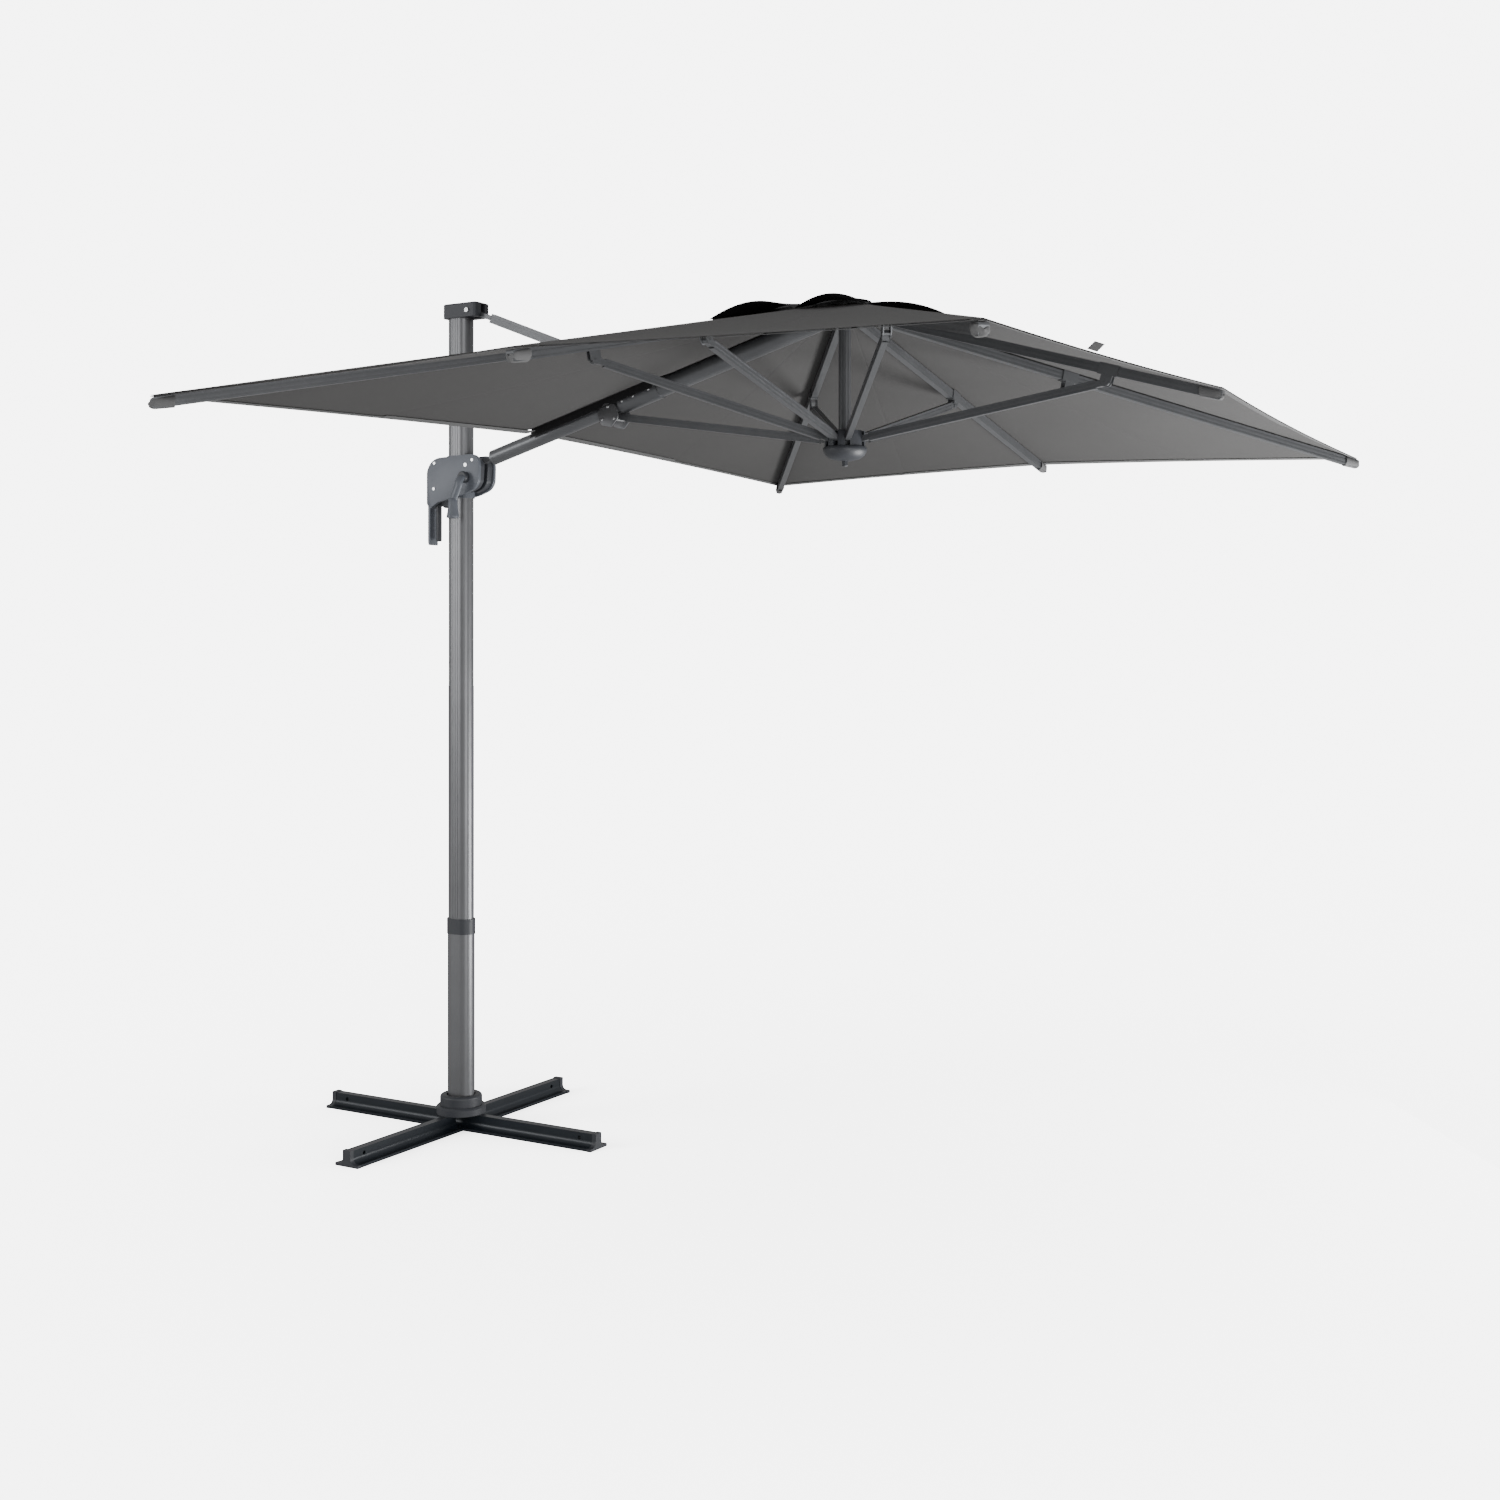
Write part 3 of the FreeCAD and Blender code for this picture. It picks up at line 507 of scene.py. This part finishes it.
def hem_place(name, side):
    """side is 0 for a whole edge; the boom's edge is in two halves that stop at the slit."""
    reach = rib_edge(ARMS[name])[1]

    def place(across, along):
        share = 1 + HEM_PAST_EDGE - HEM_WIDE / reach * (1 - along)
        if side:
            across = side * (SLIT_SHARE + (1 - SLIT_SHARE) * (across + 1) / 2)
        point = section_point(name, across, share)
        point.z -= HEM_BELOW
        return point
    return place


for name in NAMES:
    sides = (-1, 1) if name == "boom" else (0,)
    for side in sides:
        tag = name if side == 0 else name + ("_left" if side < 0 else "_right")
        band = grid_piece("hem_" + tag, COLUMNS, 2, hem_place(name, side), hem_cloth, -CLOTH)
        fold_cloth(band, name)


# %% [markdown]
# Over the middle sits the vent cap, a second small canopy whose hem stands up in waves between the
# ribs so that wind can leave. It is made in the same eight sections as the main cloth.

# %% Vent cap
VENT_MIDDLE = 0.010
VENT_VALLEY = 0.003
VENT_WAVE = 0.032
VENT_REACH = {0.0: 0.385, 90.0: 0.285}
VENT_CORNER_REACH = 0.400
VENT_START = 0.15
WAVE_FULLNESS = 0.9
CENTRE_WIDE = 0.072
CENTRE_ABOVE = 0.003
CENTRE_SLOPE = 0.22


def vent_share(azimuth):
    """The part of a rib that the vent cap covers."""
    reach = rib_edge(azimuth)[1]
    return VENT_REACH.get(azimuth % 180.0, VENT_CORNER_REACH) / reach


def vent_place(name):
    before, after = neighbours(name)
    own = ARMS[name]

    def place(across, along):
        along = VENT_START + (1 - VENT_START) * along
        other = after if across >= 0 else before
        start = rib_point(own, vent_share(own) * along)
        end = rib_point(other, vent_share(other) * along)
        point = start.lerp(end, abs(across) / 2)
        lift = math.sin(math.pi * abs(across) / 2) ** WAVE_FULLNESS
        point.z += over_boom(point) + VENT_VALLEY + VENT_MIDDLE * (1 - along)
        point.z += VENT_WAVE * lift * along**3
        return point
    return place


for name in NAMES:
    cap = grid_piece("black_cloth_and_painted_shade_" + name, 24, 20, vent_place(name), black_cloth_and_painted_shade, CLOTH)
    fold_cloth(cap, name)

peak = rib_point(ARMS["left"], 0.0).z + VENT_VALLEY + VENT_MIDDLE


def centre_place(across, along):
    """A round patch over the crown, from a square grid, lying on the cap's middle."""
    x, y = across, 2 * along - 1
    spot = Vector((x * math.sqrt(1 - y * y / 2), y * math.sqrt(1 - x * x / 2), 0)) * CENTRE_WIDE
    return HUB + spot + Vector((0, 0, peak + CENTRE_ABOVE - CENTRE_SLOPE * spot.length))


centre = grid_piece("vent_centre", 24, 24, centre_place, black_cloth_and_painted_shade, CLOTH)
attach(centre, "hub")
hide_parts("vent_canopy")

# %% [markdown]
# At each rib's end the cloth has a sewn pocket that the rib's tip slips into. It wraps round the
# underside of the rib and is stitched to the hem.

# %% Rib pockets
POCKET_LONG = 0.060
POCKET_WIDE = 0.0135
POCKET_DEEP = 0.0160
RIB_DROP = 0.0185
POCKET_WRAP = 125
TIP_FROM = 0.7
POCKET_PAST_EDGE = 0.004


def pocket_place(name):
    reach = rib_edge(ARMS[name])[1]
    side = Vector(tangent(name))

    def place(across, along):
        tip = max(along - TIP_FROM, 0.0) / (1 - TIP_FROM)
        closing = math.sqrt(max(1 - tip**2, 0.0))
        share = 1 + POCKET_PAST_EDGE - POCKET_LONG / reach * (1 - along)
        turn = across * math.radians(POCKET_WRAP)
        base = rib_point(ARMS[name], share) + Vector((0, 0, -RIB_DROP))
        wide = POCKET_WIDE * (1.08 - 0.15 * along) * closing
        deep = POCKET_DEEP * (1.08 - 0.20 * along) * closing
        return base + side * (wide * math.sin(turn)) + Vector((0, 0, -deep * math.cos(turn)))
    return place


for name in NAMES:
    if name != "boom":
        pocket = grid_piece("pocket_" + name, 18, 16, pocket_place(name), hem_cloth, CLOTH)
        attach(pocket, body_for(name))

# %% [markdown]
# The slider is two moulded cheeks screwed together round the mast, with a solid nose for the boom and a
# grip behind. Each outline is a short polygon, thickened and given rounded edges. The same helpers make
# the strut bracket on the boom, and a lathe helper makes the round parts.

# %% Shape helpers
def outline_prism(points, y0, y1, bevel, corner=0.012):
    """A polygon in X and Z, thickened along Y, with its corners and rims rounded."""
    mesh = bmesh.new()
    ring = [mesh.verts.new((x, y0, z)) for x, z in points]
    face = mesh.faces.new(ring)
    grown = bmesh.ops.extrude_face_region(mesh, geom=[face])
    moved = [item for item in grown["geom"] if isinstance(item, bmesh.types.BMVert)]
    bmesh.ops.translate(mesh, verts=moved, vec=(0, y1 - y0, 0))
    bmesh.ops.recalc_face_normals(mesh, faces=mesh.faces)
    upright = [e for e in mesh.edges if abs(e.verts[0].co.y - e.verts[1].co.y) > 1e-6]
    bmesh.ops.bevel(mesh, geom=upright, offset=corner, segments=4, affect="EDGES", profile=0.5,
                    material=-1, clamp_overlap=True)
    rims = [e for e in mesh.edges if e.is_manifold and e.calc_face_angle(0) > math.radians(50)]
    bmesh.ops.bevel(mesh, geom=rims, offset=bevel, segments=3, affect="EDGES", profile=0.5,
                    material=-1, clamp_overlap=True)
    return mesh


def lathe(profile, centre=(0, 0, 0), steps=48):
    """Radius and height pairs turned round a vertical line."""
    mesh = bmesh.new()
    line = [mesh.verts.new((radius, 0.0, height)) for radius, height in profile]
    edges = [mesh.edges.new(pair) for pair in zip(line, line[1:])]
    bmesh.ops.spin(mesh, geom=line + edges, cent=(0, 0, 0), axis=(0, 0, 1), angle=2 * math.pi,
                   steps=steps, use_merge=True)
    bmesh.ops.remove_doubles(mesh, verts=mesh.verts, dist=1e-6)
    bmesh.ops.translate(mesh, verts=mesh.verts, vec=centre)
    return mesh


def swept(path, widths, depths, sides=20):
    """An oval section swept along a path in metres; each section stays square to the path."""
    mesh = bmesh.new()
    rings = []
    for index, (spot, wide, deep) in enumerate(zip(path, widths, depths)):
        ahead = path[min(index + 1, len(path) - 1)] - path[max(index - 1, 0)]
        across = Vector((1, 0, 0))
        other = ahead.cross(across).normalized()
        across = other.cross(ahead).normalized()
        ring = []
        for step in range(sides):
            turn = 2 * math.pi * step / sides
            out = across * wide * math.cos(turn) + other * deep * math.sin(turn)
            ring.append(mesh.verts.new(spot + out))
        rings.append(ring)
    for low_ring, high_ring in zip(rings, rings[1:]):
        for step in range(sides):
            after = (step + 1) % sides
            mesh.faces.new((low_ring[step], low_ring[after], high_ring[after], high_ring[step]))
    mesh.faces.new(rings[0])
    mesh.faces.new(rings[-1][::-1])
    return mesh


def lay_along_y(mesh, place, turn=90):
    """A lathed shape laid down with its axis along Y, then moved to its place."""
    tipped = Matrix.Rotation(math.radians(turn), 3, "X")
    bmesh.ops.rotate(mesh, verts=mesh.verts, cent=(0, 0, 0), matrix=tipped)
    bmesh.ops.translate(mesh, verts=mesh.verts, vec=place)
    return mesh


def middle(low, high):
    """The middle of a box, on the parasol's plane of symmetry."""
    return Vector(((low[0] + high[0]) / 2, 0, (low[2] + high[2]) / 2))


def add_part(name, mesh, slot_name, body, replaced=None, flat_above=40):
    part = finish_piece(name, mesh, finishes[slot_name])
    part.data.set_sharp_from_angle(angle=math.radians(flat_above))
    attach(part, body)
    if replaced:
        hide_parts(replaced)
    return part


# %% Slider cheeks and grip
guide_low, guide_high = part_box("slider_guide")
TOP = guide_high[2]
REAR = -0.100
NOSE = 0.102
NOSE_GAP = 0.0075
GRIP_HALF = 0.0190
LEVER_HALF = 0.0090
CHEEK_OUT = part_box("slider_rear_shell")[1][1] + 0.0025
CHEEK_IN = guide_high[1] + 0.0003
cheek_outline = [
    (REAR, TOP - 0.152), (REAR, TOP - 0.044), (REAR + 0.016, TOP - 0.018), (REAR + 0.040, TOP - 0.006),
    (0.078, TOP), (NOSE - 0.006, TOP - 0.010), (NOSE, TOP - 0.030), (NOSE - 0.002, TOP - 0.086),
    (NOSE - 0.018, TOP - 0.106), (0.045, TOP - 0.120), (-0.060, TOP - 0.142), (REAR + 0.020, TOP - 0.156),
]
for word, side in (("right", -1), ("left", 1)):
    shell = outline_prism(cheek_outline, side * CHEEK_IN, side * CHEEK_OUT, 0.0035)
    add_part("slider_cheek_" + word, shell, "grey_plastic", "slider",
             "slider_rear_shell" if side < 0 else "slider_front_shell")
    nose_outline = [
        (guide_high[0] + 0.001, TOP - 0.004), (NOSE - 0.012, TOP - 0.012), (NOSE - 0.004, TOP - 0.034),
        (NOSE - 0.008, TOP - 0.084), (NOSE - 0.022, TOP - 0.102), (guide_high[0] + 0.001, TOP - 0.116),
    ]
    block = outline_prism(nose_outline, side * NOSE_GAP, side * (CHEEK_IN + 0.002), 0.002, 0.006)
    add_part("slider_nose_" + word, block, "black_plastic", "slider")
rear_outline = [
    (REAR + 0.004, TOP - 0.150), (REAR + 0.004, TOP - 0.048), (REAR + 0.020, TOP - 0.022),
    (REAR + 0.042, TOP - 0.009), (guide_low[0] - 0.001, TOP - 0.009), (guide_low[0] - 0.001, TOP - 0.080),
    (REAR + 0.028, TOP - 0.084), (REAR + 0.028, TOP - 0.150),
]
filler = outline_prism(rear_outline, -CHEEK_IN - 0.002, CHEEK_IN + 0.002, 0.002, 0.002)
add_part("slider_back", filler, "black_plastic", "slider")
grip_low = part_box("slider_rear_shell")[0]
BACK = grip_low[0]
grip_outline = [
    (BACK, TOP - 0.140), (BACK, grip_low[2] + 0.010), (BACK + 0.003, grip_low[2]),
    (BACK + 0.009, grip_low[2] + 0.001), (BACK + 0.009, TOP - 0.158), (BACK + 0.030, TOP - 0.146),
    (BACK + 0.030, TOP - 0.110), (REAR + 0.002, TOP - 0.100),
]
grip = outline_prism(grip_outline, -GRIP_HALF, GRIP_HALF, 0.003, 0.003)
add_part("slider_grip", grip, "grey_plastic", "slider")

# %% Release lever
lever_low, lever_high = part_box("release_lever")
LEVER = lever_low[0]
lever_outline = [
    (LEVER + 0.006, lever_high[2] - 0.004), (LEVER, lever_high[2] - 0.030), (LEVER, lever_low[2] + 0.005),
    (LEVER + 0.004, lever_low[2]), (LEVER + 0.012, lever_low[2] + 0.002),
    (LEVER + 0.012, lever_high[2] - 0.040), (LEVER + 0.022, lever_high[2] - 0.020),
    (LEVER + 0.022, lever_high[2] - 0.004),
]
lever = outline_prism(lever_outline, -LEVER_HALF, LEVER_HALF, 0.003, 0.003)
add_part("lever_skin", lever, "black_plastic", "release_lever", "release_lever")

# %% Crank
crank_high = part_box("crank_handle")[1]
crank_base, crank_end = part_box("crank_grip")
crank_pin = next(joint["pos_m"] for joint in frame["joints"] if joint["name"] == "crank_turn")
CRANK = Vector(((crank_base[0] + crank_end[0]) / 2, crank_high[1], crank_pin[2]))
CRANK_STEPS = 24
ROOT = 0.010
BEND_RADIUS = 0.024
BEND_SHARE = 0.45
ARM_DROP = 0.048
HANG_BACK = 0.022
KNOB_DROP = 0.124
path, widths, depths = [], [], []
for step in range(CRANK_STEPS + 1):
    share = step / CRANK_STEPS
    turn = min(share / BEND_SHARE, 1.0) * math.pi / 2
    drop = max(share - BEND_SHARE, 0.0) / (1 - BEND_SHARE)
    path.append(Vector((
        CRANK.x - HANG_BACK * drop,
        CRANK.y - ROOT - BEND_RADIUS * math.sin(turn),
        CRANK.z - BEND_RADIUS * (1 - math.cos(turn)) - ARM_DROP * drop,
    )))
    widths.append(0.0145 - 0.002 * share)
    depths.append(0.0095 - 0.001 * share)
add_part("crank_arm", swept(path, widths, depths), "grey_plastic", "crank", "crank_handle")
BOSS = [(0.0, 0.0), (0.0155, 0.0), (0.017, 0.0015), (0.017, 0.0165), (0.015, 0.019), (0.0, 0.019)]
boss = lay_along_y(lathe(BOSS), (CRANK.x, -CHEEK_OUT - 0.0005, CRANK.z))
add_part("crank_boss", boss, "black_plastic", "crank")
KNOB = [
    (0.0, 0.060), (0.0115, 0.060), (0.0140, 0.057), (0.0145, 0.042), (0.0160, 0.022), (0.0185, 0.008),
    (0.0190, 0.004), (0.0180, 0.0), (0.0130, -0.001), (0.0, -0.001),
]
knob_place = (CRANK.x - HANG_BACK, CRANK.y - ROOT - BEND_RADIUS, CRANK.z - KNOB_DROP)
add_part("crank_knob", lathe(KNOB, knob_place), "grey_plastic", "crank", "crank_grip")

# %% [markdown]
# The boom's strut bracket is a pair of six-sided plates outside the tube, with three rivets each, and
# the lower hub has a round saucer under it with the end bolt in the middle.

# %% Strut bracket and lower hub
bracket_low, bracket_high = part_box("boom_strut_bracket")
boom_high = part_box("boom_upper_tube")[1]
foot_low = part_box("boom_lower_tube")[0]
BOOM_TILT = math.atan2(boom_high[2] - foot_low[2], boom_high[0] - foot_low[0])
BOOM_WAY = Vector((math.cos(BOOM_TILT), 0, math.sin(BOOM_TILT)))
OUTSIDE = 0.0306
PLATE_THICK = 0.004
PLATE_RADIUS = 0.038
PLATE_SHIFT = 0.016
RIVET_CIRCLE = 0.024
PIN_MID = middle(bracket_low, bracket_high)
PLATE_MID = PIN_MID + Vector((0, 0, PLATE_SHIFT)) - BOOM_WAY * PLATE_SHIFT


def round_plate(radius, degrees):
    """X and Z of a point on a circle about the plate's middle, counted from the boom's line."""
    turn = BOOM_TILT + math.radians(degrees)
    return PLATE_MID.x + radius * math.cos(turn), PLATE_MID.z + radius * math.sin(turn)


hexagon = [round_plate(PLATE_RADIUS, 60 * step + 30) for step in range(6)]
sleeve_low, sleeve_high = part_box("boom_sleeve")
SLEEVE_HALF = (sleeve_high[1] - sleeve_low[1]) / 2
SLEEVE_MID = middle(sleeve_low, sleeve_high)


def rivet_at(name, x, y, z, side, radius=0.0046):
    """A low round head whose axis runs along Y."""
    dome = [(0.0, 0.0026), (0.65 * radius, 0.0022), (0.95 * radius, 0.001), (radius, -0.002), (0.0, -0.002)]
    head = lay_along_y(lathe(dome, steps=20), (x, y, z), -90 * side)
    add_part(name, head, "bright_steel", "boom")


for word, side in (("right", -1), ("left", 1)):
    face = side * (OUTSIDE + PLATE_THICK)
    plate = outline_prism(hexagon, side * OUTSIDE, face, 0.001, 0.007)
    # The plates take the mast's lighter powder coat as painted light, to lift them out of the shade on the boom's
    # sides.
    add_part("bracket_plate_" + word, plate, "mast_paint", "boom",
             "boom_strut_bracket" if side < 0 else None)
    for step, angle in enumerate((75, 195, 315)):
        x, z = round_plate(RIVET_CIRCLE, angle)
        rivet_at("bracket_rivet_{}_{}".format(word, step), x, face, z, side)
    for step, share in enumerate((-0.050, -0.010, 0.045)):
        spot = SLEEVE_MID + BOOM_WAY * share
        label = "sleeve_rivet_{}_{}".format(word, step)
        rivet_at(label, spot.x, side * SLEEVE_HALF, spot.z, side, 0.004)
PIN_HALF = 0.033
PIN = [(0.0, PIN_HALF), (0.005, PIN_HALF), (0.005, -PIN_HALF), (0.0, -PIN_HALF)]
add_part("bracket_pin", lay_along_y(lathe(PIN, steps=24), PIN_MID), "bright_steel", "boom")

runner_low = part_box("runner_hub")[0]
SAUCER = [
    (0.0, -0.032), (0.020, -0.031), (0.040, -0.026), (0.053, -0.017), (0.0590, -0.006), (0.0595, 0.002),
    (0.0575, 0.006), (0.0550, 0.007), (0.0, 0.007),
]
add_part("runner_saucer", lathe(SAUCER, (HUB.x, 0, runner_low[2])), "black_plastic", "runner")
NUT = [(0.0, -0.046), (0.0075, -0.046), (0.0088, -0.044), (0.0088, -0.030), (0.0, -0.030)]
add_part("runner_nut", lathe(NUT, (HUB.x, 0, runner_low[2]), 6), "black_plastic", "runner", flat_above=20)

# %% [markdown]
# One small sewn thing remains: the end of a strap that stands up at the front hem.

# %% Strap end
STRAP_PLACE = 0.78
STRAP_SPREAD = 0.04
STRAP_START = Vector((0.002, 0.0, 0.003))
STRAP_RUN = Vector((0.016, 0.0, 0.014))


def strap_place(across, along):
    root = section_point("right_front", STRAP_PLACE + STRAP_SPREAD * across, 1.0)
    return root + STRAP_START + STRAP_RUN * along


strap = grid_piece("strap_end", 6, 8, strap_place, black_cloth_and_painted_shade, CLOTH)
fold_cloth(strap, "right_front")

# %% [markdown]
# The camera stands in front and to the right of the mast, a little above half its height.

# %% Camera
CAMERA = Vector((3.619, -4.489, 1.499))
LOOK = Vector((-0.503, 0.864, 0.0))
LENS = 44.69
SENSOR = 36.0
SHIFT = (0.0033, -0.0759)
camera_data = bpy.data.cameras.new("camera")
camera_data.lens = LENS
camera_data.sensor_width = SENSOR
camera_data.shift_x, camera_data.shift_y = SHIFT
camera = bpy.data.objects.new("camera", camera_data)
camera.location = CAMERA
camera.rotation_euler = LOOK.to_track_quat("-Z", "Y").to_euler()
bpy.context.scene.collection.objects.link(camera)
bpy.context.scene.camera = camera

# %% [markdown]
# A bright, even studio: the floor only shows the soft shadow, and the sky is brighter to the eye than
# to the object, so that the dark cloth keeps its depth.

# %% Floor and light
FLOOR_HALF = 40.0
floor_mesh = bmesh.new()
bmesh.ops.create_grid(floor_mesh, x_segments=1, y_segments=1, size=FLOOR_HALF)
floor_finish = bpy.data.materials.new("floor")
floor_finish.use_nodes = True
floor_shader = floor_finish.node_tree.nodes["Principled BSDF"]
floor_shader.inputs["Base Color"].default_value = (0.7, 0.7, 0.7, 1)
floor_shader.inputs["Roughness"].default_value = 0.9
floor = finish_piece("floor", floor_mesh, floor_finish, smooth=False)
floor.is_shadow_catcher = True

BACKDROP = 6.8
AMBIENT = 0.54
world = bpy.data.worlds.new("studio")
world.use_nodes = True
sky = world.node_tree
seen = sky.nodes.new("ShaderNodeLightPath")
level = sky.nodes.new("ShaderNodeMapRange")
level.inputs["To Min"].default_value = AMBIENT
level.inputs["To Max"].default_value = BACKDROP
link(sky, seen.outputs["Is Camera Ray"], level.inputs["Value"])
sky.nodes["Background"].inputs["Color"].default_value = (0.95, 0.95, 0.95, 1)
link(sky, level.outputs["Result"], sky.nodes["Background"].inputs["Strength"])
bpy.context.scene.world = world


def area_light(name, place, target, power, size):
    data = bpy.data.lights.new(name, "AREA")
    data.energy = power
    data.size = size
    lamp = bpy.data.objects.new(name, data)
    lamp.location = place
    lamp.rotation_euler = (Vector(target) - Vector(place)).to_track_quat("-Z", "Y").to_euler()
    lamp.visible_camera = False
    bpy.context.scene.collection.objects.link(lamp)


area_light("key", (-3.5, -4.5, 2.2), (0.1, 0, 1.2), 110, 2.5)
area_light("front", (2.6, -5.2, 3.4), (0.6, 0, 1.6), 75, 3.0)
area_light("under", (3.2, 1.2, 0.2), (2.3, 0.6, 2.2), 260, 1.8)
area_light("fill", (4.8, -3.2, 0.9), (1.8, -0.8, 2.2), 80, 1.6)
